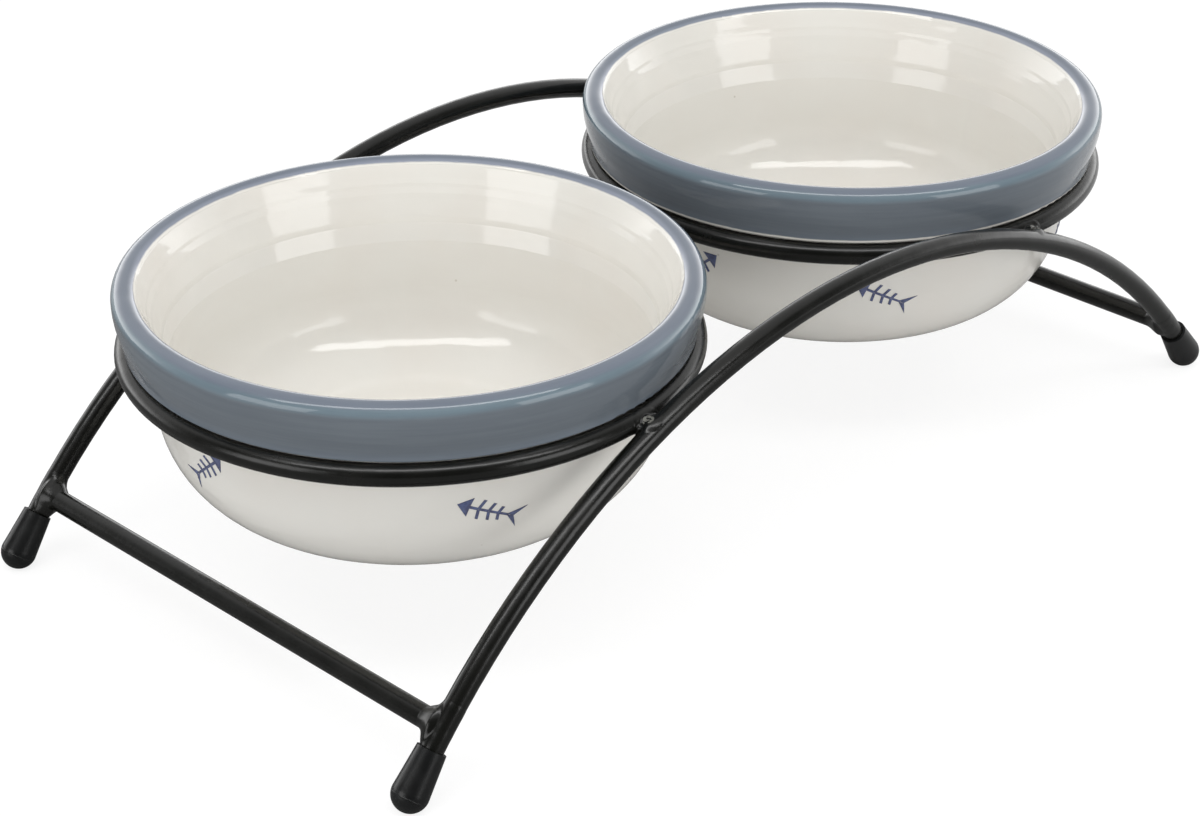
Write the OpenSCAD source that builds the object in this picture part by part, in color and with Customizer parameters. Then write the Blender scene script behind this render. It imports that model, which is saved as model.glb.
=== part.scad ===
// Double pet bowl: two glazed bowls that lift out of a welded wire stand.
// Two bent side rods carry a ring for each bowl, a crossbar joins the rods at each end,
// and a soft cap closes each of the four rod ends. X runs along the row of bowls,
// Y across it, and Z up from the surface that the stand is on.

/* [Bowls] */
// Outer diameter over the rolled lip
lip_d = 130.2; // [110:0.1:160]
// Radius of the roll that closes the wall at the rim
lip_roll_r = 3; // [2.5:0.1:3.6]
// Height of each bowl from its foot to the top of the lip
bowl_h = 52.9; // [45:0.1:75]
// Height of the coloured band, from the top of the lip down to the ledge
band_h = 13.7; // [12:0.1:20]
// Radius of the band's two soft curves, out over the shoulder and back in above the ledge
band_curve_r = 20; // [17:0.5:30]
// Steepest taper of the band, in degrees
band_taper = 18; // [10:1:20]
// Width of the ledge that the bowl hangs by
ledge_w = 4; // [3.4:0.1:6]
// Rounding of the ledge's outer edge
ledge_round_r = 0.8; // [0.4:0.1:1.2]
// Taper of the body below the ledge, in degrees
body_taper = 7.4; // [3:0.1:10]
// Radius of the curve from the wall into the bottom
body_curve_r = 24; // [18:1:28]
// Thickness of the body's wall and floor
wall = 4.6; // [3.6:0.1:5]
// Height of the inside wall's soft break, above which it flares to the lip, over the ledge
break_rise = 0; // [-1:0.1:2]
// Radius of the wide curve by which the inside wall flares out to the lip
flare_curve_r = 75; // [50:1:120]
// Rounding of the break
break_r = 12; // [6:1:14]
// Outer diameter of the foot ring
foot_d = 73; // [60:1:80]
// Width of the foot ring
foot_w = 3.5; // [2:0.1:5]
// Depth of the recess inside the foot ring
foot_recess = 1.1; // [0.6:0.1:2]
// Free space between the two lips
bowl_gap = 16; // [8:0.1:40]

/* [Stand] */
// Diameter of the wire of the rods, rings and crossbars
wire_d = 5; // [4:0.1:6]
// Bend radius of the side rods, to the middle of the wire
arch_r = 171.3; // [165:0.1:230]
// Height of the rings' wire above the surface, to its middle
ring_h = 60.6; // [58:0.1:75]
// Drop of the side rod below the ring's wire where the two are welded
weld_drop = 1.5; // [0.5:0.1:2]
// Sideways step from the ring's wire to the side rod, middle to middle
rod_step = 4.5; // [4.4:0.1:4.6]
// Distance of the ring welds from the bowl's centre line, towards the middle of the stand
weld_in = 7; // [4:0.5:12]
// Free space between a bowl's body and the ring around it
ring_clearance = 1.1; // [0.4:0.1:1.5]
// Free height between the ledge and the ring
seat_clearance = 0.3; // [0.2:0.05:0.5]

/* [Foot caps] */
// Length of a foot cap
cap_len = 14; // [12:0.5:20]
// Diameter of a foot cap at its round tip
cap_tip_d = 8.2; // [7.4:0.1:10]
// Diameter of a foot cap at its mouth
cap_mouth_d = 6.6; // [6.2:0.1:7.4]
// Depth of the bore that takes the rod's end
cap_bore_len = 9.6; // [7:0.1:9.8]
// Free space around the rod in a cap
cap_clearance = 0.15; // [0.1:0.05:0.2]
// How far the round tip is flattened where it stands
cap_flat = 0.4; // [0.2:0.05:0.6]

/* [Welds] */
// Length of the bead between a ring and a rod
bead_len = 8; // [5:0.5:12]
// Radius of that bead
bead_r = 2.1; // [1.6:0.1:2.4]
// How far the bead stands up out of the gap that it fills
bead_lift = 0.3; // [0.1:0.1:0.6]
// Radius of the fillet between a crossbar and a rod
fillet_r = 2.2; // [1.5:0.1:3.5]
// Thickness of that fillet at its edges
fillet_edge = 0.35; // [0.25:0.05:0.6]
// Bulge of that fillet past the side of the wire
fillet_bulge = 0.7; // [0.4:0.1:1]
// Free space between that fillet and the mouth of a foot cap
cap_gap = 0.2; // [0.1:0.1:8]
// Free space between a weld and the bent wire under it
weld_clearance = 0.12; // [0.1:0.01:0.16]

/* [Hidden] */
$fn = 96;
// Steps in a full turn of the long bends
bend_steps = 360;

// Past the end of what a cut goes through
overrun = 1;
// Depth to which curves that run into each other overlap, so that they cross cleanly
blend = 0.001;
wire_r = wire_d / 2;
lip_r = lip_d / 2;

// Bowl, measured up from its foot
ledge_y = bowl_h - band_h;
lip_x = lip_r - lip_roll_r + blend;
lip_y = bowl_h - lip_roll_r;
// Centres of the band's outward and inward curves, which meet where the taper is steepest
shoulder_x = lip_r - band_curve_r;
turn_y = lip_y - band_curve_r * sin(band_taper);
waist_x = shoulder_x + (2 * band_curve_r - blend) * cos(band_taper);
waist_y = lip_y - (2 * band_curve_r - blend) * sin(band_taper);
// Rounding at the ledge's outer edge, which runs into the inward curve
edge_y = ledge_y + ledge_round_r - blend;
edge_reach = band_curve_r + ledge_round_r - blend;
edge_x = waist_x - sqrt(pow(edge_reach, 2) - pow(edge_y - waist_y, 2));
edge_out = [waist_x - edge_x, waist_y - edge_y] * 2 * ledge_round_r / edge_reach;
edge_end = [edge_x, edge_y] + edge_out;
// Body: a tapered wall that runs into the bottom on one curve
body_r = edge_x + ledge_round_r - ledge_w;
curve_y = foot_recess + body_curve_r;
wall_out = [cos(body_taper), -sin(body_taper)];
curve_x = body_r - (ledge_y - curve_y) * tan(body_taper) - (body_curve_r - blend) / cos(body_taper);
wall_low = [curve_x, curve_y] + (body_curve_r - blend) * wall_out;
// Soft corner where the wall meets the underside of the ledge
corner_r = ledge_round_r;
corner_x = body_r + corner_r * (1 - sin(body_taper)) / cos(body_taper);
corner_y = ledge_y - corner_r;
corner_low = [corner_x, corner_y] - corner_r * wall_out;
// Inside: the same bottom curve and the same taper, one wall further in
inner_curve_r = body_curve_r - wall;
inner_low = [curve_x, curve_y] + (inner_curve_r - blend) * wall_out;
inner_end_y = bowl_h + overrun;
inner_end_x = inner_low[0] + (inner_end_y - inner_low[1]) * tan(body_taper);
// Flare: one wide curve from the break up into the lip's roll, both with their centres in the clay
break_y = ledge_y + break_rise;
break_x = inner_low[0] + (break_y - inner_low[1]) * tan(body_taper);
flare_lip_r = flare_curve_r - lip_roll_r + blend;
lip_dx = lip_x - break_x;
lip_dy = lip_y - break_y;
lip_d2 = pow(lip_dx, 2) + pow(lip_dy, 2);
flare_along = (pow(flare_curve_r, 2) - pow(flare_lip_r, 2) + lip_d2) / (2 * sqrt(lip_d2));
flare_across = sqrt(pow(flare_curve_r, 2) - pow(flare_along, 2));
break_to_flare = (flare_along * [lip_dx, lip_dy] + flare_across * [lip_dy, -lip_dx]) / sqrt(lip_d2);
flare_centre = [break_x, break_y] + break_to_flare;
flare_to_roll = flare_centre - [lip_x, lip_y];
roll_end = [lip_x, lip_y] - (lip_roll_r + overrun) * flare_to_roll / norm(flare_to_roll);
// Rounded break: its centre lies one break_r inside both the tapered wall and the flare
break_turn = atan2(-break_to_flare[1], break_to_flare[0]) - body_taper;
break_along = sqrt(pow(flare_curve_r - break_r, 2) - pow(flare_curve_r * cos(break_turn) - break_r, 2))
    - flare_curve_r * sin(break_turn);
break_centre = [break_x, break_y] + break_r * wall_out + break_along * [sin(body_taper), cos(body_taper)];
break_reach = break_r + overrun;
break_low = break_centre - break_reach * wall_out;
break_out = (flare_centre - break_centre) / (flare_curve_r - break_r);
break_high = break_centre - break_reach * break_out;
foot_r = foot_d / 2;
foot_top_y = 2 * foot_recess;

// Stand
bowl_x = lip_r + bowl_gap / 2;
ring_r = body_r + ring_clearance + wire_r;
bowl_z = ring_h + wire_r + seat_clearance - ledge_y;
rod_y = ring_r + rod_step;
weld_x = bowl_x - weld_in;
arch_z = ring_h - weld_drop - sqrt(pow(arch_r, 2) - pow(weld_x, 2));

// Feet: a cap's tip stands on the surface, and its bore follows the rod's end, so the cap's
// axis touches the bend halfway along the bore. Lengths run along it from the tip's centre.
cap_tip_r = cap_tip_d / 2;
cap_mouth_r = cap_mouth_d / 2;
cap_bore_r = wire_r + cap_clearance;
tip_to_bore = cap_len - cap_bore_len - cap_tip_r;
tip_to_mouth = cap_len - cap_tip_r;
tip_to_bend = (tip_to_bore + tip_to_mouth) / 2;
tip_z = cap_tip_r - cap_flat;
cap_lean = acos((tip_z - arch_z) / norm([arch_r, tip_to_bend])) - atan2(tip_to_bend, arch_r);
tip_x = arch_r * sin(cap_lean) + tip_to_bend * cos(cap_lean);
rod_end_angle = cap_lean + asin((tip_to_bend - tip_to_bore - cap_clearance) / arch_r);

// Crossbars: between the rods, just above the caps
bend_to_bar = tip_to_mouth - tip_to_bend + cap_gap + fillet_r + wire_r;
bar_angle = cap_lean - asin(bend_to_bar / arch_r);
bar_x = arch_r * sin(bar_angle);
bar_z = arch_z + arch_r * cos(bar_angle);

// Ring welds: in the groove above the line where the two wires pass each other
weld_ring_y = sqrt(pow(ring_r, 2) - pow(weld_in, 2));
weld_rod_z = ring_h - weld_drop;
weld_tilt = atan2(weld_drop, rod_y - weld_ring_y);
weld_y = (weld_ring_y + rod_y) / 2 + bead_lift * sin(weld_tilt);
weld_z = (ring_h + weld_rod_z) / 2 + bead_lift * cos(weld_tilt);
rod_slope = asin(weld_x / arch_r);
ring_yaw = asin(weld_in / ring_r);
bead_straight = bead_len - 2 * bead_r;
weld_cut_r = wire_r + weld_clearance;
weld_cut_len = bead_len + 2 * overrun;

// Crossbar welds: a flare around the bar's end, kept to a lens that follows the rod
flare_r = wire_r + fillet_r;
lens_half = wire_r + fillet_bulge;
lens_r = flare_r + fillet_bulge;
lens_curve_r = (pow(lens_r, 2) + pow(lens_half, 2)) / (2 * lens_half);

// Outline of the body below the ledge, with its one curve
module body_section() {
    polygon([
        [0, foot_recess], [curve_x, foot_recess], [curve_x, curve_y],
        wall_low, [body_r, ledge_y], [body_r, edge_y], [0, edge_y]
    ]);
    intersection() {
        translate([curve_x, curve_y]) circle(r = body_curve_r);
        square([lip_r, edge_y]);
    }
    difference() {
        polygon([
            corner_low, [corner_x, corner_y], [corner_x, edge_y],
            [body_r - corner_r, edge_y], [body_r - corner_r, corner_low[1]]
        ]);
        translate([corner_x, corner_y]) circle(r = corner_r + blend);
    }
}

// Outline of the band: out over the shoulder, then back in and down to the ledge
module band_section() {
    intersection() {
        polygon([
            [0, turn_y - overrun], [lip_r, turn_y - overrun], [lip_r, lip_y],
            [lip_x, lip_y], roll_end, [0, roll_end[1]]
        ]);
        union() {
            translate([shoulder_x, lip_y]) circle(r = band_curve_r);
            square([lip_x, bowl_h]);
        }
    }
    difference() {
        polygon([
            [0, ledge_y], [edge_x, ledge_y], [edge_x, edge_y], edge_end,
            [lip_r, edge_end[1]], [lip_r, turn_y], [0, turn_y]
        ]);
        translate([waist_x, waist_y]) circle(r = band_curve_r);
    }
    translate([edge_x, edge_y]) circle(r = ledge_round_r);
}

// Outline of the foot ring, up into the bottom curve
module foot_section() {
    translate([foot_r - foot_w, 0]) square([foot_w, foot_top_y]);
}

// Outline of the space inside, with its flare and the rounded break below that
module cavity_section() {
    polygon([
        [0, curve_y - inner_curve_r], [curve_x, curve_y - inner_curve_r], [curve_x, curve_y],
        inner_low, [inner_end_x, inner_end_y], [0, inner_end_y]
    ]);
    translate([curve_x, curve_y]) circle(r = inner_curve_r);
    difference() {
        translate([0, break_y - overrun]) square([lip_x, inner_end_y - break_y + overrun]);
        translate(flare_centre) circle(r = flare_curve_r);
    }
    difference() {
        polygon([break_centre, break_low, break_high]);
        translate(break_centre) circle(r = break_r + blend);
    }
}

// A bowl, turned from one outline
module bowl(side) {
    translate([side * bowl_x, 0, bowl_z])
        rotate_extrude()
        difference() {
            union() {
                body_section();
                band_section();
                foot_section();
                translate([lip_x, lip_y]) circle(r = lip_roll_r);
            }
            cavity_section();
        }
}

// A side rod, bent to one radius
module side_rod_form(side) {
    translate([0, side * rod_y, arch_z])
        rotate([90, 0, 0])
        rotate([0, 0, 90 - rod_end_angle])
        rotate_extrude(angle = 2 * rod_end_angle, $fn = bend_steps)
        translate([arch_r, 0])
        circle(r = wire_r);
}

// A ring, closed around its bowl
module ring_form(side) {
    translate([side * bowl_x, 0, ring_h])
        rotate_extrude($fn = bend_steps)
        translate([ring_r, 0])
        circle(r = wire_r);
}

// A crossbar's round wire, up to the middle of both rods
module crossbar_form(side) {
    translate([side * bar_x, 0, bar_z])
        rotate([90, 0, 0])
        cylinder(r = wire_r, h = 2 * rod_y, center = true);
}

// A crossbar, coped to the rods that it is welded to
module crossbar(side) {
    difference() {
        crossbar_form(side);
        side_rod_form(-1);
        side_rod_form(1);
    }
}

// Repeats what is made at the corner on +X and +Y at all four corners
module each_corner() {
    for (side_x = [-1, 1], side_y = [-1, 1])
        mirror([side_x - 1, 0, 0]) mirror([0, side_y - 1, 0]) children();
}

// Half a round-ended bead, lying along X with its flat side down
module half_bead() {
    rotate([90, 0, 90])
    rotate_extrude(angle = 180) {
        translate([0, -bead_straight / 2]) square([bead_r, bead_straight]);
        for (end = [-1, 1])
            translate([0, end * bead_straight / 2])
            intersection() {
                circle(r = bead_r);
                translate([0, -bead_r]) square([bead_r, 2 * bead_r]);
            }
    }
}

// The bead in the groove between a ring and a rod
module ring_weld() {
    difference() {
        translate([weld_x, weld_y, weld_z])
            rotate([0, rod_slope / 2, ring_yaw / 2])
            rotate([-weld_tilt, 0, 0])
            half_bead();
        translate([weld_x, weld_ring_y, ring_h])
            rotate([0, 90, ring_yaw])
            cylinder(r = weld_cut_r, h = weld_cut_len, center = true);
        translate([weld_x, rod_y, weld_rod_z])
            rotate([0, 90 + rod_slope, 0])
            cylinder(r = weld_cut_r, h = weld_cut_len, center = true);
    }
}

// The flare around a crossbar's end, from the middle of the rod towards the bar
module flare() {
    rotate([90, 0, 0])
    rotate_extrude()
    difference() {
        translate([wire_r, 0]) square([fillet_r, flare_r]);
        translate([flare_r + fillet_edge, flare_r + fillet_edge]) circle(r = fillet_r);
    }
}

// The lens that keeps a flare close to the rod: long along the rod, thin across it
module rod_lens() {
    translate([0, overrun, 0])
    rotate([90, 0, 0])
    linear_extrude(height = flare_r + 2 * overrun)
    rotate(-bar_angle)
    intersection() {
        translate([0, lens_half - lens_curve_r]) circle(r = lens_curve_r);
        translate([0, lens_curve_r - lens_half]) circle(r = lens_curve_r);
    }
}

// The fillet between a crossbar's end and a rod
module crossbar_weld() {
    translate([bar_x, rod_y, bar_z])
    intersection() {
        difference() {
            flare();
            rotate([0, 90 + bar_angle, 0])
                cylinder(r = weld_cut_r, h = 2 * lens_r + overrun, center = true);
        }
        rod_lens();
    }
}

// A foot cap, along its own axis from the tip's centre up to the mouth
module cap_form() {
    difference() {
        rotate_extrude() {
            intersection() {
                circle(r = cap_tip_r);
                translate([0, -cap_tip_r]) square([cap_tip_r, 2 * cap_tip_r]);
            }
            polygon([[0, 0], [cap_tip_r, 0], [cap_mouth_r, tip_to_mouth], [0, tip_to_mouth]]);
        }
        translate([0, 0, tip_to_bore]) cylinder(r = cap_bore_r, h = cap_bore_len + overrun);
    }
}

// A foot cap on its rod's end, cut flat where it stands
module foot_cap(side_x, side_y) {
    mirror([side_x - 1, 0, 0])
    translate([tip_x, side_y * rod_y, 0])
    difference() {
        translate([0, 0, tip_z]) rotate([0, cap_lean - 90, 0]) cap_form();
        translate([-cap_tip_r, -cap_tip_r, -cap_tip_r]) cube([cap_tip_d, cap_tip_d, cap_tip_r]);
    }
}

module front_side_rod() { color([0.14, 0.14, 0.14]) side_rod_form(-1); }
module back_side_rod() { color([0.14, 0.14, 0.14]) side_rod_form(1); }
module left_ring() { color([0.14, 0.14, 0.14]) ring_form(-1); }
module right_ring() { color([0.14, 0.14, 0.14]) ring_form(1); }
module left_crossbar() { color([0.14, 0.14, 0.14]) crossbar(-1); }
module right_crossbar() { color([0.14, 0.14, 0.14]) crossbar(1); }
module ring_welds() { color([0.18, 0.18, 0.18]) each_corner() ring_weld(); }
module crossbar_welds() { color([0.18, 0.18, 0.18]) each_corner() crossbar_weld(); }
module front_left_foot_cap() { color([0.1, 0.1, 0.1]) foot_cap(-1, -1); }
module front_right_foot_cap() { color([0.1, 0.1, 0.1]) foot_cap(1, -1); }
module back_left_foot_cap() { color([0.1, 0.1, 0.1]) foot_cap(-1, 1); }
module back_right_foot_cap() { color([0.1, 0.1, 0.1]) foot_cap(1, 1); }
module left_bowl() { color([0.87, 0.86, 0.82]) bowl(-1); }
module right_bowl() { color([0.87, 0.86, 0.82]) bowl(1); }

front_side_rod();
back_side_rod();
left_ring();
right_ring();
left_crossbar();
right_crossbar();
ring_welds();
crossbar_welds();
front_left_foot_cap();
front_right_foot_cap();
back_left_foot_cap();
back_right_foot_cap();
left_bowl();
right_bowl();
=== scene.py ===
import math

import bmesh
import bpy
import numpy as np
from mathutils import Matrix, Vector, noise
from mathutils.bvhtree import BVHTree


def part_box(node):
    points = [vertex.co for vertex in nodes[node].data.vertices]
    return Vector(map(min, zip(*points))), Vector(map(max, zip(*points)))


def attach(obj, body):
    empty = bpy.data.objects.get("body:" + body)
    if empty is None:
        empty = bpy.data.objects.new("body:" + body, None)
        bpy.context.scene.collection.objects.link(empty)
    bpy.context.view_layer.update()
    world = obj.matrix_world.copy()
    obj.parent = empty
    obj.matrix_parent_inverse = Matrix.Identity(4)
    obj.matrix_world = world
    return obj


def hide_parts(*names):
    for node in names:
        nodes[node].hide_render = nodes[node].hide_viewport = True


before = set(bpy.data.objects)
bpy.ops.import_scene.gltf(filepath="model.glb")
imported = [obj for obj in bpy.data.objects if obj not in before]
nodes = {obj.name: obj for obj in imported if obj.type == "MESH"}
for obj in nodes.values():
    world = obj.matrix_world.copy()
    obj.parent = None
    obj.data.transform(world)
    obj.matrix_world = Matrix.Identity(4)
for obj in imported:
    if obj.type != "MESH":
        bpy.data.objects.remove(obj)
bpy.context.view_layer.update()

# Double pet bowl: two glazed bowls with a blue band, in an arched stand of coated wire.

MM = 0.001
SIDES = (-1, 1)


# Places and sizes, from the frame

def middle(node):
    low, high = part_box(node)
    return (low + high) / 2


def extent(node):
    low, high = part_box(node)
    return high - low


BOWLS = {"left_bowl": middle("left_bowl").x, "right_bowl": middle("right_bowl").x}
LIP_R = extent("left_bowl").x / 2
LIP_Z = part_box("left_bowl")[1].z
WIRE_R = extent("left_ring").z / 2
RING_R = extent("left_ring").x / 2 - WIRE_R
RING_Z = middle("left_ring").z
ROD_Y = middle("back_side_rod").y
BAR_X = middle("right_crossbar").x
BAR_Z = middle("right_crossbar").z

# Sizes that the frame doesn't give, as in the part's source: the band's height, the bend of the
# side rods, and the middle of the dome at the tip of a foot cap with the cap's lean in degrees
BAND_H = 13.7 * MM
LEDGE_Z = LIP_Z - BAND_H
ARCH_R = 171.3 * MM
ARCH_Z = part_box("back_side_rod")[1].z - WIRE_R - ARCH_R
CAP_TIP_X = 137.24 * MM
CAP_TIP_Z = 3.7 * MM
CAP_LEAN = 51.5


# Node graphs for the materials and the world

class Graph:
    """The node tree of a material or world, with short calls for the nodes that it uses."""

    def __init__(self, owner, output, coordinates):
        self.owner = owner
        owner.use_nodes = True
        self.tree = owner.node_tree
        self.tree.nodes.clear()
        self.out = self.node(output)
        self.place = self.node("TexCoord").outputs[coordinates]

    def put(self, socket, value):
        if isinstance(value, bpy.types.NodeSocket):
            self.tree.links.new(value, socket)
        elif value is not None:
            socket.default_value = value

    def node(self, kind, **values):
        made = self.tree.nodes.new("ShaderNode" + kind)
        for name, value in values.items():
            self.put(made.inputs[name], value)
        return made

    def operate(self, kind, operation, *values):
        made = self.node(kind)
        made.operation = operation
        for socket, value in zip(made.inputs, values):
            self.put(socket, value)
        return made

    def math(self, operation, *values):
        return self.operate("Math", operation, *values).outputs[0]

    def vector_math(self, operation, a, b):
        return self.operate("VectorMath", operation, a, b).outputs["Value"]

    def plus(self, a, b):
        return self.math("ADD", a, b)

    def minus(self, a, b):
        return self.math("SUBTRACT", a, b)

    def times(self, a, b):
        return self.math("MULTIPLY", a, b)

    def ramp(self, value, low, high, to_low=0.0, to_high=1.0, kind="SMOOTHSTEP"):
        """The value carried from the range low to high into another one, and held at its ends."""
        made = self.node("MapRange")
        made.interpolation_type = kind
        for socket, given in zip(made.inputs, (value, low, high, to_low, to_high)):
            self.put(socket, given)
        return made.outputs[0]

    def mix(self, share, a, b, kind="MIX"):
        made = self.node("Mix")
        made.data_type = "RGBA"
        made.blend_type = kind
        for socket, value in ((made.inputs[0], share), (made.inputs[6], a), (made.inputs[7], b)):
            self.put(socket, (*value, 1) if isinstance(value, tuple) else value)
        return made.outputs[2]

    def noise(self, scale, detail=2.0, rough=0.5, vector=None):
        """Cloudy noise from 0 to 1. scale counts its waves in a metre, or in a unit of the vector."""
        vector = self.place if vector is None else vector
        made = self.node("TexNoise", Vector=vector, Scale=scale, Detail=detail, Roughness=rough)
        return made.outputs["Fac"]

    def drift(self, scale, size):
        """A length that wanders slowly round zero, over a range of about size."""
        return self.times(self.minus(self.noise(scale), 0.5), size)

    def parts(self, vector):
        return self.node("SeparateXYZ", Vector=vector).outputs

    def vector(self, x, y, z):
        return self.node("CombineXYZ", X=x, Y=y, Z=z).outputs[0]

    def bump(self, height, distance, normal=None):
        return self.node("Bump", Height=height, Distance=distance, Normal=normal).outputs[0]

    def shade(self, **values):
        """Ends a material with one Principled shader, and returns the material."""
        shader = self.node("BsdfPrincipled")
        for name, value in values.items():
            self.put(shader.inputs[name.replace("_", " ")], value)
        self.put(self.out.inputs[0], shader.outputs[0])
        return self.owner


def material_graph(name):
    return Graph(bpy.data.materials.new(name), "OutputMaterial", "Object")


def srgb(red, green, blue):
    """A colour as a screen shows it, 0 to 255, in the linear values that a shader takes."""
    def linear(value):
        share = value / 255
        return share / 12.92 if share <= 0.04045 else ((share + 0.055) / 1.055) ** 2.4
    return linear(red), linear(green), linear(blue)


# Glaze of the bowls

CREAM = srgb(227, 225, 219)
CREAM_WARM = srgb(224, 218, 210)
PIN_MARK = srgb(150, 135, 112)
BAND_LOW = srgb(109, 118, 128)
BAND_MIDDLE = srgb(101, 108, 115)
BAND_SHOULDER = srgb(108, 123, 132)
BAND_TOP = srgb(106, 114, 126)
# Pale colour on top of the lip's inner edge: partly thinner glaze, partly a painted reflection
BAND_THIN_AND_SHEEN = srgb(140, 146, 160)
STREAK_DARK = (0.93, 0.93, 0.94)
STREAK_PALE = (1.07, 1.07, 1.06)
GLAZE_IOR = 1.52

# Where the band goes over from each shade to the next, in mm above the ledge
BAND_SHADES = [(0, 3, BAND_MIDDLE), (10.7, 12, BAND_SHOULDER), (12.5, 13.3, BAND_TOP)]
# Where the band ends on top of the lip, half the width of its edge, and how wide its pale inner rim
# is, which is thinner glaze and partly a painted reflection
BAND_INNER_R = LIP_R - 5.1 * MM
BAND_SOFT = 0.18 * MM
THIN_AND_SHEEN_W = 1.3 * MM
# Height above the ledge at which the brush left off on each bowl
BAND_FEET = {"left_bowl": 0.3 * MM, "right_bowl": 0.9 * MM}
# Radius in the middle of the wall, below the ledge and up in the band
MID_WALL_LOW_R = LIP_R - 9.2 * MM
MID_WALL_HIGH_R = LIP_R - 5.5 * MM
# Turning ridges inside the bowl: where each starts and ends above the ledge, and its step, in mm
RIDGES = [
    (-5.0, -0.4, -1.22), (-0.2, 1.2, 0.03),
    (5.0, 6.2, 0.04), (6.2, 7.6, -0.04), (7.7, 8.4, 0.04), (8.4, 9.6, -0.04),
]
# Relief of the glaze: its waves in a metre, their height on the glaze and on the print, the height
# of the wheel's fine marks, and how thick the band is
GLAZE_WAVES = 42.0
WAVE_H = 0.22 * MM
PRINT_WAVE_H = 0.35 * MM
WHEEL_MARK_H = 0.17 * MM
BAND_THICK = 0.06 * MM


class Turned:
    """Where a point of a bowl is: its radius and height, and its azimuth as a cosine and a sine.

    wander is a slow drift, by which shades, the pale rim of the lip with its painted reflection, and
    ridges go up and down.
    """

    def __init__(self, g, centre_x):
        x, y, self.z = g.parts(g.place)
        x = g.minus(x, centre_x)
        self.radius = g.math("SQRT", g.plus(g.times(x, x), g.times(y, y)))
        turn = g.math("ARCTAN2", y, x)
        self.cosine = g.math("COSINE", turn)
        self.sine = g.math("SINE", turn)
        self.wander = g.drift(26.0, 1.2 * MM)

    def drawn_out(self, g, height, turns, rise):
        """A place for noise that is drawn out round the bowl, as brush and wheel leave it."""
        return g.vector(g.times(self.cosine, turns), g.times(self.sine, turns), g.times(height, rise))


def band_colour(g, at):
    """Brushed blue glaze, which changes a little with height, and is paler on top of the lip's inner
    edge: thinner glaze there, partly a painted reflection.
    """
    height = g.plus(at.z, at.wander)
    colour = BAND_LOW
    for start, end, shade in BAND_SHADES:
        colour = g.mix(g.ramp(height, LEDGE_Z + start * MM, LEDGE_Z + end * MM), colour, shade)
    # Pale rim on top of the lip's inner edge: thinner glaze with a painted reflection
    thin_and_sheen = g.ramp(g.minus(at.radius, at.wander), BAND_INNER_R + THIN_AND_SHEEN_W, BAND_INNER_R, 0.0, 0.9)
    colour = g.mix(thin_and_sheen, colour, BAND_THIN_AND_SHEEN)
    streaks = g.noise(1.0, 3.0, 0.6, at.drawn_out(g, at.z, turns=2.2, rise=900))
    streaked = g.mix(g.ramp(streaks, 0.3, 0.75), STREAK_DARK, STREAK_PALE)
    return g.mix(0.8, colour, streaked, "MULTIPLY")


def cream_colour(g):
    """Cream, a little warmer in places, with a few pin marks."""
    warm = g.ramp(g.noise(34.0, 3.0), 0.35, 0.8, 0.0, 0.5)
    specks = g.node("TexVoronoi", Vector=g.place, Scale=260.0).outputs["Distance"]
    rare = g.ramp(g.noise(120.0, 1.0), 0.66, 0.7)
    marks = g.times(g.ramp(specks, 0.1, 0.05), rare)
    return g.mix(g.times(marks, 0.35), g.mix(warm, CREAM, CREAM_WARM), PIN_MARK)


def band_cover(g, at, band_foot):
    """1 on the band: outside its inner edge on the lip, and above its foot."""
    fine = g.drift(160.0, 0.3 * MM)
    outside = g.ramp(g.plus(at.radius, fine), BAND_INNER_R - BAND_SOFT, BAND_INNER_R + BAND_SOFT)
    above = g.ramp(g.plus(at.z, fine), band_foot - BAND_SOFT, band_foot + BAND_SOFT)
    return g.times(outside, above)


def ridge_height(g, at):
    """Height of the turning ridges in metres, on the inside only."""
    height = g.plus(at.z, g.times(at.wander, 0.5))
    ridges = 0.0
    for start, end, step in RIDGES:
        low, high = LEDGE_Z + start * MM, LEDGE_Z + end * MM
        ridges = g.plus(ridges, g.ramp(height, low, high, 0.0, step * MM, "LINEAR"))
    mid_wall = g.ramp(at.z, LEDGE_Z - 1 * MM, LEDGE_Z + 3 * MM, MID_WALL_LOW_R, MID_WALL_HIGH_R)
    return g.times(ridges, g.math("LESS_THAN", at.radius, mid_wall))


def glaze(name, node):
    """Cream glaze with a brushed blue band, slow waves, and the marks of the wheel."""
    g = material_graph(name)
    at = Turned(g, BOWLS[node])
    band = band_cover(g, at, LEDGE_Z + BAND_FEET[node])
    rings = g.noise(1.0, 1.0, vector=at.drawn_out(g, g.plus(at.z, at.wander), turns=5, rise=210))
    normal = g.bump(g.noise(GLAZE_WAVES), WAVE_H)
    normal = g.bump(rings, WHEEL_MARK_H, normal)
    normal = g.bump(ridge_height(g, at), 1.0, normal)
    normal = g.bump(band, BAND_THICK, normal)
    return g.shade(
        Base_Color=g.mix(band, cream_colour(g), band_colour(g, at)),
        Roughness=g.ramp(g.noise(90.0, 3.0), 0.3, 0.8, 0.055, 0.12),
        IOR=GLAZE_IOR, Normal=normal,
    )


PRINT = srgb(80, 84, 112)
PRINT_PALE = srgb(96, 106, 142)


def fish_print():
    """Blue print, a little cloudy, with the shine of the glaze."""
    g = material_graph("print_blue")
    return g.shade(
        Base_Color=g.mix(g.ramp(g.noise(900.0, 3.0), 0.3, 0.75), PRINT, PRINT_PALE),
        Roughness=0.09, IOR=GLAZE_IOR, Normal=g.bump(g.noise(GLAZE_WAVES), PRINT_WAVE_H),
    )


# Coat of the wire, and rubber of the caps

COAT_DARK = srgb(10, 11, 8)
COAT_PALE = srgb(16, 16, 13)
COAT_DUST = srgb(110, 110, 108)
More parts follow.
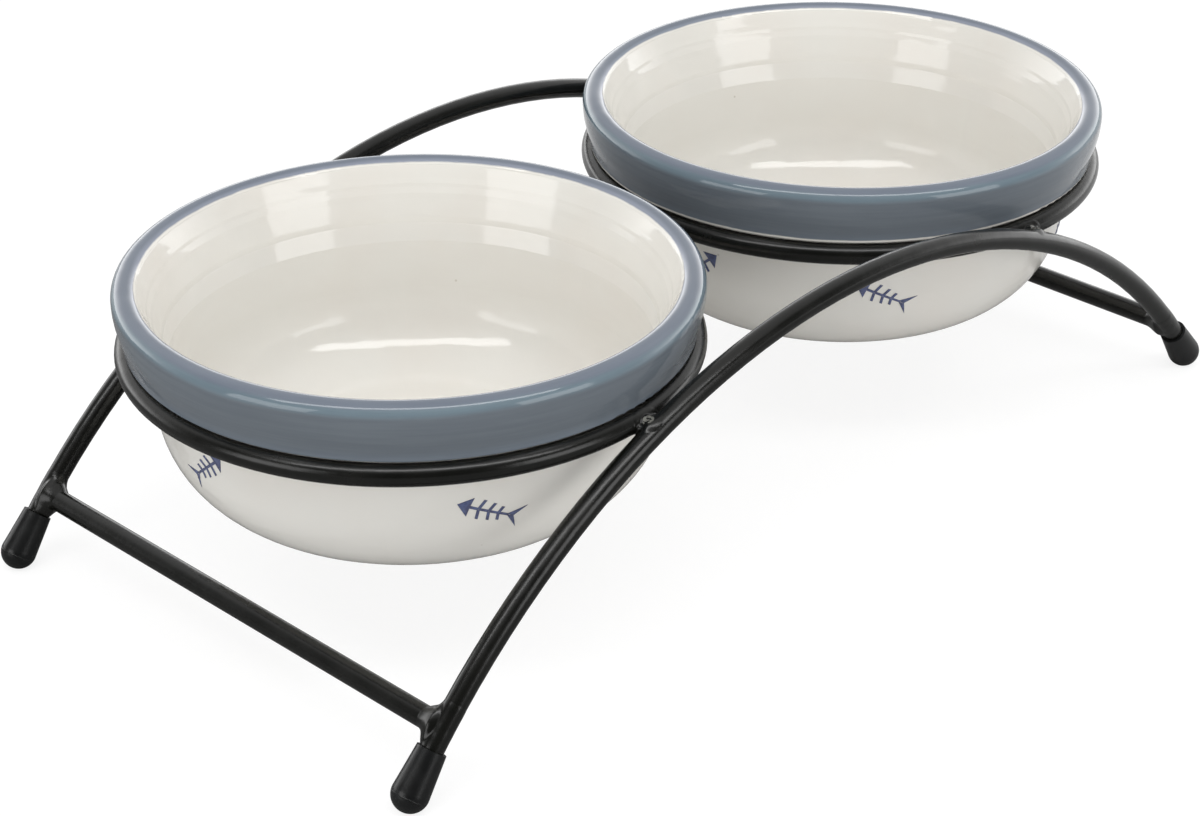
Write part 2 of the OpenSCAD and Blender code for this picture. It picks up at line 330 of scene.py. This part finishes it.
# Pale grey of a painted highlight on the flat pad of each ring weld
COAT_GLINT = srgb(112, 112, 106)
COAT_IOR = 1.5
COAT_WAVE_H = 0.12 * MM
PEEL_H = 0.012 * MM
# Radius of the pale disc, a painted highlight on a ring weld's flat pad, at the outside and at the
# inside of its soft edge
GLINT_OUTER_R = 1.5 * MM
GLINT_INNER_R = 1.3 * MM


def powder_coat(name, glint_at=None):
    """Satin black coat on wire: slow waves, fine orange peel and a little dust.

    The last argument is the middle of a pale disc, a painted highlight broken by dark pits, given for
    the corner where x and y are positive.
    """
    g = material_graph(name)
    slow = g.noise(110.0, 3.0)
    colour = g.mix(g.ramp(slow, 0.3, 0.8), COAT_DARK, COAT_PALE)
    colour = g.mix(g.ramp(g.noise(2600.0, 1.0), 0.72, 0.78, 0.0, 0.05), colour, COAT_DUST)
    rough = g.ramp(slow, 0.25, 0.8, 0.21, 0.29)
    normal = g.bump(slow, COAT_WAVE_H)
    normal = g.bump(g.noise(1500.0), PEEL_H, normal)
    # Painted highlight: a pale disc with dark pits on the flat of each ring weld's pad
    if glint_at is not None:
        x, y, z = g.parts(g.place)
        corner = g.vector(g.math("ABSOLUTE", x), g.math("ABSOLUTE", y), z)
        gap = g.vector_math("DISTANCE", corner, glint_at)
        pits = g.ramp(g.noise(1600.0, 1.0), 0.55, 0.5)
        disc = g.times(g.ramp(gap, GLINT_OUTER_R, GLINT_INNER_R), pits)
        colour = g.mix(disc, colour, COAT_GLINT)
        rough = g.ramp(disc, 0.0, 1.0, rough, 0.5)
    return g.shade(Base_Color=colour, Roughness=rough, IOR=COAT_IOR, Normal=normal)


RUBBER_DARK = srgb(10, 11, 12)
RUBBER_PALE = srgb(17, 19, 19)
FLOOR_DUST = srgb(92, 90, 86)
RUBBER_IOR = 1.49
GRAIN_H = 0.012 * MM
# Height above the floor at which its dust ends, and below which it is thickest
DUST_TOP = 1.6 * MM
DUST_FULL = 0.2 * MM
# Parting line of the mould: its place on the cap's axis, from the middle of the dome, its height,
# and the half of its width at its foot and at its top
PARTING_AT = -0.9 * MM
PARTING_H = 0.09 * MM
PARTING_FOOT = 0.22 * MM
PARTING_TOP = 0.05 * MM


def rubber():
    """Matt black rubber, with floor dust low down and a parting line round the dome's start."""
    g = material_graph("foot_rubber")
    x, _, z = g.parts(g.place)
    smear = g.noise(160.0, 3.0)
    dust = g.times(g.ramp(z, DUST_TOP, DUST_FULL), g.ramp(smear, 0.3, 0.7, 0.2, 0.6))
    colour = g.mix(g.ramp(smear, 0.3, 0.8), RUBBER_DARK, RUBBER_PALE)
    colour = g.mix(g.times(dust, 0.3), colour, FLOOR_DUST)

    lean = math.radians(CAP_LEAN)
    inward = g.times(g.minus(g.math("ABSOLUTE", x), CAP_TIP_X), -math.cos(lean))
    upward = g.times(g.minus(z, CAP_TIP_Z), math.sin(lean))
    from_line = g.math("ABSOLUTE", g.minus(g.plus(inward, upward), PARTING_AT))
    normal = g.bump(g.noise(2200.0, 3.0, 0.7), GRAIN_H)
    normal = g.bump(g.ramp(from_line, PARTING_FOOT, PARTING_TOP), PARTING_H, normal)
    return g.shade(
        Base_Color=colour, Roughness=g.ramp(smear, 0.3, 0.8, 0.3, 0.4),
        IOR=RUBBER_IOR, Normal=normal,
    )


# Objects

def dress(node, material):
    """Gives one of the frame's own pieces its material."""
    data = nodes[node].data
    if not data.materials:
        data.materials.append(material)
    for index in range(len(data.materials)):
        data.materials[index] = material


def new_object(name, data):
    made = bpy.data.objects.new(name, data)
    bpy.context.scene.collection.objects.link(made)
    return made


def smooth_piece(name, data, material, body):
    """A piece of smooth mesh that rides on a body."""
    data.materials.append(material)
    data.update()
    data.shade_smooth()
    piece = new_object(name, data)
    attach(piece, body)
    return piece


# Fish bones printed on the bowls, just below the ring

# Outlines of the fish in mm: along it from the tip of its head, and across it from its spine
FISH_LENGTH = 14.75
HEAD = [(0, 0), (2.75, 2.4), (2.75, 0), (2.95, -2.4)]
SPINE = [(2.5, 0.33), (11.6, 0.26), (11.6, -0.26), (2.5, -0.33)]
TAIL_UP = [(11.2, 0.1), (14.8, 2.9), (12.8, 0)]
TAIL_DOWN = [(11.2, -0.1), (12.8, 0), (14.7, -2.75)]
# Each rib's place on the spine, the place of its ends, and their reach to either side
RIBS = [(4.7, 5.25, 2.45), (7.0, 7.6, 2.15), (9.2, 9.65, 1.7)]
RIB_HALF = 0.33
# Cuts across each edge, so that the print can follow the bowl
PRINT_CUTS = 4
# Half the print's thickness, by which its middle is lifted off the bowl
PRINT_LIFT = 0.05 * MM
# Radius at which the prints' widths are true
PRINT_R = 54.5 * MM
# Azimuth and height in mm of each fish, its tilt in degrees, and 1 where it heads left
# or -1 where it heads right
FISHES = {
    "left_bowl": [
        (-116.3, 46.9, -24, 1), (-57, 47.8, -31, -1), (5, 47.4, -22, 1),
        (62, 48.2, -35, -1), (121, 46.8, -27, 1), (-182.1, 49.0, -40, -1),
    ],
    "right_bowl": [
        (-128.3, 46.7, -26.5, 1), (-63, 48.4, -36, -1), (-8, 47.2, -25, 1),
        (52, 48.0, -33, -1), (116, 47.1, -23, 1), (-175.8, 48.5, -40, -1),
    ],
}


def fish_outlines():
    """The fish's separate outlines: head, spine, both halves of the tail, and the ribs."""
    outlines = [HEAD, SPINE, TAIL_UP, TAIL_DOWN]
    for at, end, reach in RIBS:
        for side in SIDES:
            outlines.append([
                (at - RIB_HALF, 0), (at + RIB_HALF, 0),
                (end + RIB_HALF, side * reach), (end - RIB_HALF, side * reach),
            ])
    return outlines


def surface_of(node):
    data = nodes[node].data
    data.calc_loop_triangles()
    points = [v.co.copy() for v in data.vertices]
    return BVHTree.FromPolygons(points, [tuple(t.vertices) for t in data.loop_triangles])


def flat_fish():
    """The fish as a flat mesh of small triangles."""
    made = bmesh.new()
    for outline in fish_outlines():
        made.faces.new([made.verts.new((u, v, 0)) for u, v in outline])
    bmesh.ops.triangulate(made, faces=made.faces[:])
    bmesh.ops.subdivide_edges(made, edges=made.edges[:], cuts=PRINT_CUTS, use_grid_fill=True)
    bmesh.ops.triangulate(made, faces=made.faces[:])
    return made


def fish(name, node, surface, place, material):
    """A fish on the bowl's outside, projected straight in onto the glaze."""
    azimuth, height, tilt, facing = place
    lean = math.radians(tilt)
    made = flat_fish()
    for vertex in made.verts:
        u = (vertex.co.x - FISH_LENGTH / 2) * MM
        v = vertex.co.y * MM
        right = facing * (u * math.cos(lean) - v * math.sin(lean))
        up = u * math.sin(lean) + v * math.cos(lean)
        turn = math.radians(azimuth) + right / PRINT_R
        out = Vector((math.cos(turn), math.sin(turn), 0))
        start = Vector((BOWLS[node], 0, height * MM + up)) + out * LIP_R
        spot, normal, _, _ = surface.ray_cast(start, -out)
        vertex.co = spot + normal * math.copysign(PRINT_LIFT, normal.dot(out))
    bmesh.ops.recalc_face_normals(made, faces=made.faces[:])
    data = bpy.data.meshes.new(name)
    made.to_mesh(data)
    made.free()
    piece = smooth_piece(name, data, material, node)
    thick = piece.modifiers.new("thickness", "SOLIDIFY")
    thick.thickness = 2 * PRINT_LIFT
    thick.offset = 0


# Welds: a skin that runs from wire to wire, made as the surface of a field of distances

# Grid of the skin round each weld: half its width, and its step
BAR_REACH = 8.5 * MM
BAR_STEP = 0.22 * MM
RING_REACH = 6 * MM
RING_STEP = 0.16 * MM
# Share of the reach at which the skin is cut off, under the wires
CUT_SHARE = 0.97
# How far the skin stands proud of the wires at the weld, and how much lower it ends, inside them
SKIN_PROUD = 0.07 * MM
SKIN_SUNK = 0.25 * MM
# Bumps are added only this close to the surface, and each weld takes them from another place
NEAR = 0.5 * MM
NOISE_SHIFT = (7.1, 3.3, 5.7)
BUMP_H = 0.1 * MM
BAR_BUMP_W = 2.0 * MM
RING_BUMP_W = 1.3 * MM
# Width of the blend from wire to wire at the weld's middle, and where it has faded to LEAST_W
BAR_FILL_W = 7 * MM
BAR_FILL_REACH = 10 * MM
RING_FILL_W = 3 * MM
RING_FILL_REACH = 4.4 * MM
LEAST_W = 0.01 * MM

# Places are from the weld's middle, at the corner where x and y are positive.
# On a crossbar's weld: the bead in its upper corner, and the run down to the foot cap
BEAD_AT = np.array((-1.0, -3.3, 1.2)) * MM
BEAD_R = 1.4 * MM
RUN_AT = np.array((2.3, -1.5, -2.5)) * MM
RUN_R = 1.5 * MM
# How far short of the rod's axis the bar's round end starts, and how far in from it the skin goes
BAR_SHORT = 1.2 * MM
BAR_SKIN = 5.5 * MM
# On a ring's weld: the nub beside it, and the flow over the rod
NUB_AT = np.array((2.4, 0.2, 0.4)) * MM
NUB_RADII = np.array((0.8, 1.3, 0.9)) * MM
FLOW_AT = np.array((-0.2, 1.9, 1.0)) * MM
FLOW_RADII = np.array((2.4, 1.5, 1.2)) * MM
# Its flattened pad: the way that it faces, its middle along that, its radius, and its flat
PAD_LEAN = np.array((0.3, 0.6, 0.742))
PAD_OUT = 0.6 * MM
PAD_R = 1.95 * MM
PAD_FLAT = 1.45 * MM
# Distance of the ring welds from the bowl's centre line, as in the part's source
WELD_IN = 7 * MM


def blend_min(a, b, width):
    """The smaller of two distances, rounded over where they are nearly equal."""
    share = np.clip(0.5 + 0.5 * (b - a) / width, 0, 1)
    return b + (a - b) * share - width * share * (1 - share)


def fade(away, end):
    """1 at the weld's middle, down to 0 at the distance end and past it."""
    return np.clip(1 - away / end, 0, 1)


def rod_distance(points, side_y):
    flat = np.hypot(points[:, 0], points[:, 2] - ARCH_Z) - ARCH_R
    return np.hypot(flat, points[:, 1] - side_y * ROD_Y) - WIRE_R


def ring_distance(points, side_x):
    flat = np.hypot(points[:, 0] - side_x * BOWLS["right_bowl"], points[:, 1]) - RING_R
    return np.hypot(flat, points[:, 2] - RING_Z) - WIRE_R


def bar_distance(points, side_x):
    past = np.maximum(np.abs(points[:, 1]) - ROD_Y + BAR_SHORT, 0)
    across = np.hypot(points[:, 0] - side_x * BAR_X, points[:, 2] - BAR_Z)
    return np.hypot(across, past) - WIRE_R


def ball_distance(points, centre, radius):
    return np.linalg.norm(points - centre, axis=1) - radius


def lump_distance(points, centre, radii):
    """Distance from an ellipsoid, near enough for a blend."""
    away = (points - centre) / radii
    return (np.linalg.norm(away, axis=1) - 1) * radii.min()


def shifted(centre, offset, side_x, side_y):
    """A place beside a weld's middle, mirrored to its corner of the stand."""
    return np.array(centre) + offset * (side_x, side_y, 1)


def near_noise(points, values, width, seed):
    """Slow bumps close to the surface, the same on every run."""
    close = np.abs(values) < NEAR
    shift = Vector([seed * part for part in NOISE_SHIFT])
    added = np.zeros(len(points))
    added[close] = [noise.noise(Vector(p) / width + shift) * BUMP_H for p in points[close]]
    return added


def sunk(away, start, end):
    """How far the skin is drawn in: just proud of the wire at the weld, and under it further out."""
    share = np.clip((away - start) / (end - start), 0, 1)
    return SKIN_SUNK * share * share * (3 - 2 * share) - SKIN_PROUD


def crossbar_weld_field(side_x, side_y, centre, seed):
    """A saddle round the bar's end, with a bead in its upper corner and a run down to the cap."""
    bead = shifted(centre, BEAD_AT, side_x, side_y)
    run = shifted(centre, RUN_AT, side_x, side_y)

    def field(points, away):
        # The fill is on the bar's side of the rod, and the rod's outer side stays nearly bare
        inward = ROD_Y - np.abs(points[:, 1])
        one_sided = np.clip(0.12 + inward / (1.6 * MM), 0, 1)
        width = fade(away, BAR_FILL_REACH) * one_sided * BAR_FILL_W + LEAST_W
        values = blend_min(rod_distance(points, side_y), bar_distance(points, side_x), width)
        values = blend_min(values, ball_distance(points, bead, BEAD_R), 1.3 * MM)
        values = blend_min(values, ball_distance(points, run, RUN_R), 1.6 * MM)
        values += near_noise(points, values, BAR_BUMP_W, seed) * fade(away, 6 * MM)
        values += sunk(away, 5 * MM, 8 * MM)
        return -blend_min(-values, BAR_SKIN - inward, 0.25 * MM)
    return field


def ring_weld_field(side_x, side_y, centre, seed):
    """A fill between ring and rod, with a flattened pad, a nub beside it and a flow over the rod."""
    out = PAD_LEAN * (side_x, side_y, 1)
    pad = np.array(centre) + out * PAD_OUT
    nub = shifted(centre, NUB_AT, side_x, side_y)
    flow = shifted(centre, FLOW_AT, side_x, side_y)

    def field(points, away):
        width = fade(away, RING_FILL_REACH) * RING_FILL_W + LEAST_W
        values = blend_min(rod_distance(points, side_y), ring_distance(points, side_x), width)
        values = blend_min(values, lump_distance(points, flow, FLOW_RADII), 0.9 * MM)
        values = blend_min(values, lump_distance(points, nub, NUB_RADII), 0.4 * MM)
        flat = (points - pad) @ out - PAD_FLAT
        values = blend_min(values, np.maximum(ball_distance(points, pad, PAD_R), flat), 0.3 * MM)
        values += near_noise(points, values, RING_BUMP_W, seed) * fade(away, 5 * MM)
        return values + sunk(away, 3.6 * MM, 5.6 * MM)
    return field


def at_corner(grid, corner):
    """A grid's values at one corner of each of its cells."""
    return grid[tuple(slice(start, start + size - 1) for start, size in zip(corner, grid.shape))]


def net_points(values):
    """One point in each cell that the surface passes through, and those points' numbers by cell."""
    inside = values < 0
    cell_shape = tuple(size - 1 for size in values.shape)
    total = np.zeros((*cell_shape, 3))
    count = np.zeros(cell_shape)
    for corner in np.ndindex(2, 2, 2):
        for axis in range(3):
            if corner[axis]:
                continue
            beyond = corner[:axis] + (1,) + corner[axis + 1:]
            near, far = at_corner(values, corner), at_corner(values, beyond)
            crossed = at_corner(inside, corner) != at_corner(inside, beyond)
            share = np.where(crossed, near / np.where(crossed, near - far, 1), 0)
            spot = np.broadcast_to(np.array(corner, dtype=float), total.shape).copy()
            spot[..., axis] += share
            total += np.where(crossed[..., None], spot, 0)
            count += crossed
    used = count > 0
    numbers = -np.ones(cell_shape, dtype=int)
    numbers[used] = np.arange(used.sum())
    return np.argwhere(used) + total[used] / count[used][:, None], numbers


def net_faces(inside, numbers):
    """A square for each edge of the grid that the surface crosses, from the four cells round it."""
    faces = []
    for axis in range(3):
        across = [k for k in range(3) if k != axis]
        near = inside.take(range(inside.shape[axis] - 1), axis)
        far = inside.take(range(1, inside.shape[axis]), axis)
        for edge in np.argwhere(near != far):
            if any(not 1 <= edge[k] < inside.shape[k] - 1 for k in across):
                continue
            square = []
            for back in ((1, 1), (0, 1), (0, 0), (1, 0)):
                cell = edge.copy()
                cell[across] -= back
                square.append(numbers[tuple(cell)])
            if near[tuple(edge)] == (axis == 1):
                square.reverse()
            faces.append(square)
    return faces


def weld_skin(centre, field, reach, step):
    """Points and square faces of the surface where the field round a weld's middle is zero."""
    low = np.array(centre) - reach
    steps = int(2 * reach / step)
    grid = np.stack(np.meshgrid(*[np.arange(steps)] * 3, indexing="ij"), -1).reshape(-1, 3)
    points = low + step * grid
    away = np.linalg.norm(points - np.array(centre), axis=1)
    values = np.maximum(field(points, away), away - reach * CUT_SHARE)
    values = values.reshape(steps, steps, steps)
    spots, numbers = net_points(values)
    return low + step * spots, net_faces(values < 0, numbers)


def weld_set(name, replaced, welds, reach, step, material):
    """One piece with the skins of four welds, in place of a node of the frame."""
    points, faces = [], []
    for centre, field in welds:
        more_points, more_faces = weld_skin(centre, field, reach, step)
        start = len(points)
        points.extend(tuple(point) for point in more_points)
        faces.extend(tuple(start + number for number in face) for face in more_faces)
    data = bpy.data.meshes.new(name)
    data.from_pydata(points, [], faces)
    piece = smooth_piece(name, data, material, "stand")
    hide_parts(replaced)


def ring_weld_centre(side_x, side_y):
    """Midway between ring and rod, where the two wires pass closest."""
    x = BOWLS["right_bowl"] - WELD_IN
    ring_y = math.sqrt(RING_R ** 2 - WELD_IN ** 2)
    rod_z = ARCH_Z + math.sqrt(ARCH_R ** 2 - x ** 2)
    return side_x * x, side_y * (ring_y + ROD_Y) / 2, (RING_Z + rod_z) / 2


def make_welds():
    # Middle of the painted highlight on the flat of a ring weld's pad
    glint_at = Vector(ring_weld_centre(1, 1)) + Vector(PAD_LEAN) * (PAD_OUT + PAD_FLAT)
    bars = []
    rings = []
    for side_x in SIDES:
        for side_y in SIDES:
            seed = len(bars) + 1
            centre = (side_x * BAR_X, side_y * ROD_Y, BAR_Z)
            bars.append((centre, crossbar_weld_field(side_x, side_y, centre, seed)))
            centre = ring_weld_centre(side_x, side_y)
            rings.append((centre, ring_weld_field(side_x, side_y, centre, seed + 10)))
    bar_paint = powder_coat("bar_weld_paint")
    weld_set("crossbar_weld_skins", "crossbar_welds", bars, BAR_REACH, BAR_STEP, bar_paint)
    ring_paint = powder_coat("ring_weld_paint", glint_at)
    weld_set("ring_weld_skins", "ring_welds", rings, RING_REACH, RING_STEP, ring_paint)


# Studio

# Lamps stand this far from the object's middle, in metres
LAMP_DISTANCE = 1.3
LAMP_TARGET = Vector((0, 0, 50 * MM))
# Azimuth and elevation of each lamp in degrees, its width and height in metres, and its radiance
LAMPS = {
    "right_softbox": (-83, 13.5, 0.66, 0.63, 2.5),
    "left_softbox": (175.5, 13.5, 0.68, 0.63, 2.4),
    "top_softbox": (-132, 67, 2.0, 0.23, 5.2),
}

# Floor: half its width in metres, its grey for light that it throws back, and what the camera
# sees, which is a faint grey that takes the shadow with a glow that fills it up to white
FLOOR_HALF = 6.0
FLOOR_GREY = 0.74
FLOOR_FAINT = 0.2
FLOOR_GLOW = 0.84
# Mirrored in the object, the floor is dark in front and pale behind: the way in which it gets
# paler, the greys, and the distance that the change takes
FLOOR_BACK = (0.9, 0.44)
MIRRORED_FRONT = 0.22
MIRRORED_BACK = 0.8
MIRRORED_CHANGE = 0.25

# Strength of the world's parts, for diffuse light and for reflections
ROOM = (0.54, 0.07)
HORIZON = (0.55, 2.8)
OVERHEAD = (1.0, 0.7)
BACKDROP_TOP = 0.85
# Towards the backdrop, which stands behind the object as the camera sees it
BEHIND = (0.7071, 0.7071, 0)
WHITE = (1, 1, 1, 1)

# The photograph's view, solved from the lips, the rods and the feet
CAMERA_AT = (-440.91 * MM, -418.3 * MM, 341.89 * MM)
CAMERA_YAW = 45.607
CAMERA_PITCH = 28.358
LENS = 84.255
FILM_W = 36


def softbox(name, azimuth, elevation, width, height, radiance):
    data = bpy.data.lights.new(name, "AREA")
    data.shape = "RECTANGLE"
    data.size = width
    data.size_y = height
    data.energy = radiance * math.pi * width * height
    turn, rise = math.radians(azimuth), math.radians(elevation)
    flat = math.cos(rise)
    out = Vector((flat * math.cos(turn), flat * math.sin(turn), math.sin(rise)))
    lamp = new_object(name, data)
    lamp.location = LAMP_TARGET + out * LAMP_DISTANCE
    lamp.rotation_euler = (-out).to_track_quat("-Z", "Y").to_euler()


def make_floor():
    corners = [(-FLOOR_HALF, -FLOOR_HALF, 0), (FLOOR_HALF, -FLOOR_HALF, 0),
               (FLOOR_HALF, FLOOR_HALF, 0), (-FLOOR_HALF, FLOOR_HALF, 0)]
    data = bpy.data.meshes.new("floor")
    data.from_pydata(corners, [], [(0, 1, 2, 3)])
    floor = new_object("floor", data)

    g = material_graph("studio_floor")
    path = g.node("LightPath").outputs
    x, y, _ = g.parts(g.place)
    back = g.plus(g.times(x, FLOOR_BACK[0]), g.times(y, FLOOR_BACK[1]))
    mirrored = g.ramp(back, 0.0, MIRRORED_CHANGE, MIRRORED_FRONT, MIRRORED_BACK)
    grey = g.ramp(path["Is Glossy Ray"], 0.0, 1.0, FLOOR_GREY, mirrored)
    faint = g.node("BsdfDiffuse", Color=(FLOOR_FAINT, FLOOR_FAINT, FLOOR_FAINT, 1))
    glow = g.node("Emission", Color=WHITE, Strength=FLOOR_GLOW)
    seen = g.node("AddShader")
    g.put(seen.inputs[0], faint.outputs[0])
    g.put(seen.inputs[1], glow.outputs[0])
    either = g.node("MixShader", Fac=path["Is Camera Ray"])
    g.put(either.inputs[1], g.node("BsdfDiffuse", Color=grey).outputs[0])
    g.put(either.inputs[2], seen.outputs[0])
    g.put(g.out.inputs[0], either.outputs[0])
    data.materials.append(g.owner)


def make_world():
    """White to the camera, and to light and mirrors a pale backdrop and a dimmer room."""
    world = bpy.data.worlds.new("studio")
    bpy.context.scene.world = world
    g = Graph(world, "OutputWorld", "Generated")
    path = g.node("LightPath").outputs
    glossy = path["Is Glossy Ray"]
    height = g.parts(g.place)[2]
    behind = g.vector_math("DOT_PRODUCT", g.place, BEHIND)

    backdrop = g.ramp(height, 0.05, 0.45, g.ramp(glossy, 0.0, 1.0, *HORIZON), BACKDROP_TOP)
    light = g.ramp(behind, -0.1, 0.5, g.ramp(glossy, 0.0, 1.0, *ROOM), backdrop)
    light = g.ramp(height, 0.62, 0.95, light, g.ramp(glossy, 0.0, 1.0, *OVERHEAD))
    seen = g.ramp(path["Is Camera Ray"], 0.0, 1.0, light, 1.0)
    g.put(g.out.inputs[0], g.node("Background", Color=WHITE, Strength=seen).outputs[0])


def make_camera():
    data = bpy.data.cameras.new("camera")
    data.sensor_width = FILM_W
    data.lens = LENS
    camera = new_object("camera", data)
    camera.location = CAMERA_AT
    camera.rotation_euler = (math.radians(90 - CAMERA_PITCH), 0, math.radians(-CAMERA_YAW))
    bpy.context.scene.camera = camera


WIRES = [
    "front_side_rod", "back_side_rod", "left_ring", "right_ring", "left_crossbar", "right_crossbar",
]
CAPS = [y + x + "foot_cap" for y in ("front_", "back_") for x in ("left_", "right_")]


def main():
    black = powder_coat("stand_paint")
    for node in WIRES:
        dress(node, black)
    caps = rubber()
    for node in CAPS:
        dress(node, caps)
    for side in ("left", "right"):
        dress(side + "_bowl", glaze(side + "_glaze", side + "_bowl"))
    make_welds()

    blue = fish_print()
    for node, places in FISHES.items():
        surface = surface_of(node)
        for index, place in enumerate(places):
            fish("%s_fish_%d" % (node, index + 1), node, surface, place, blue)

    make_floor()
    make_world()
    make_camera()
    for name, lamp in LAMPS.items():
        softbox(name, *lamp)
    bpy.context.scene.view_settings.view_transform = "Standard"


main()
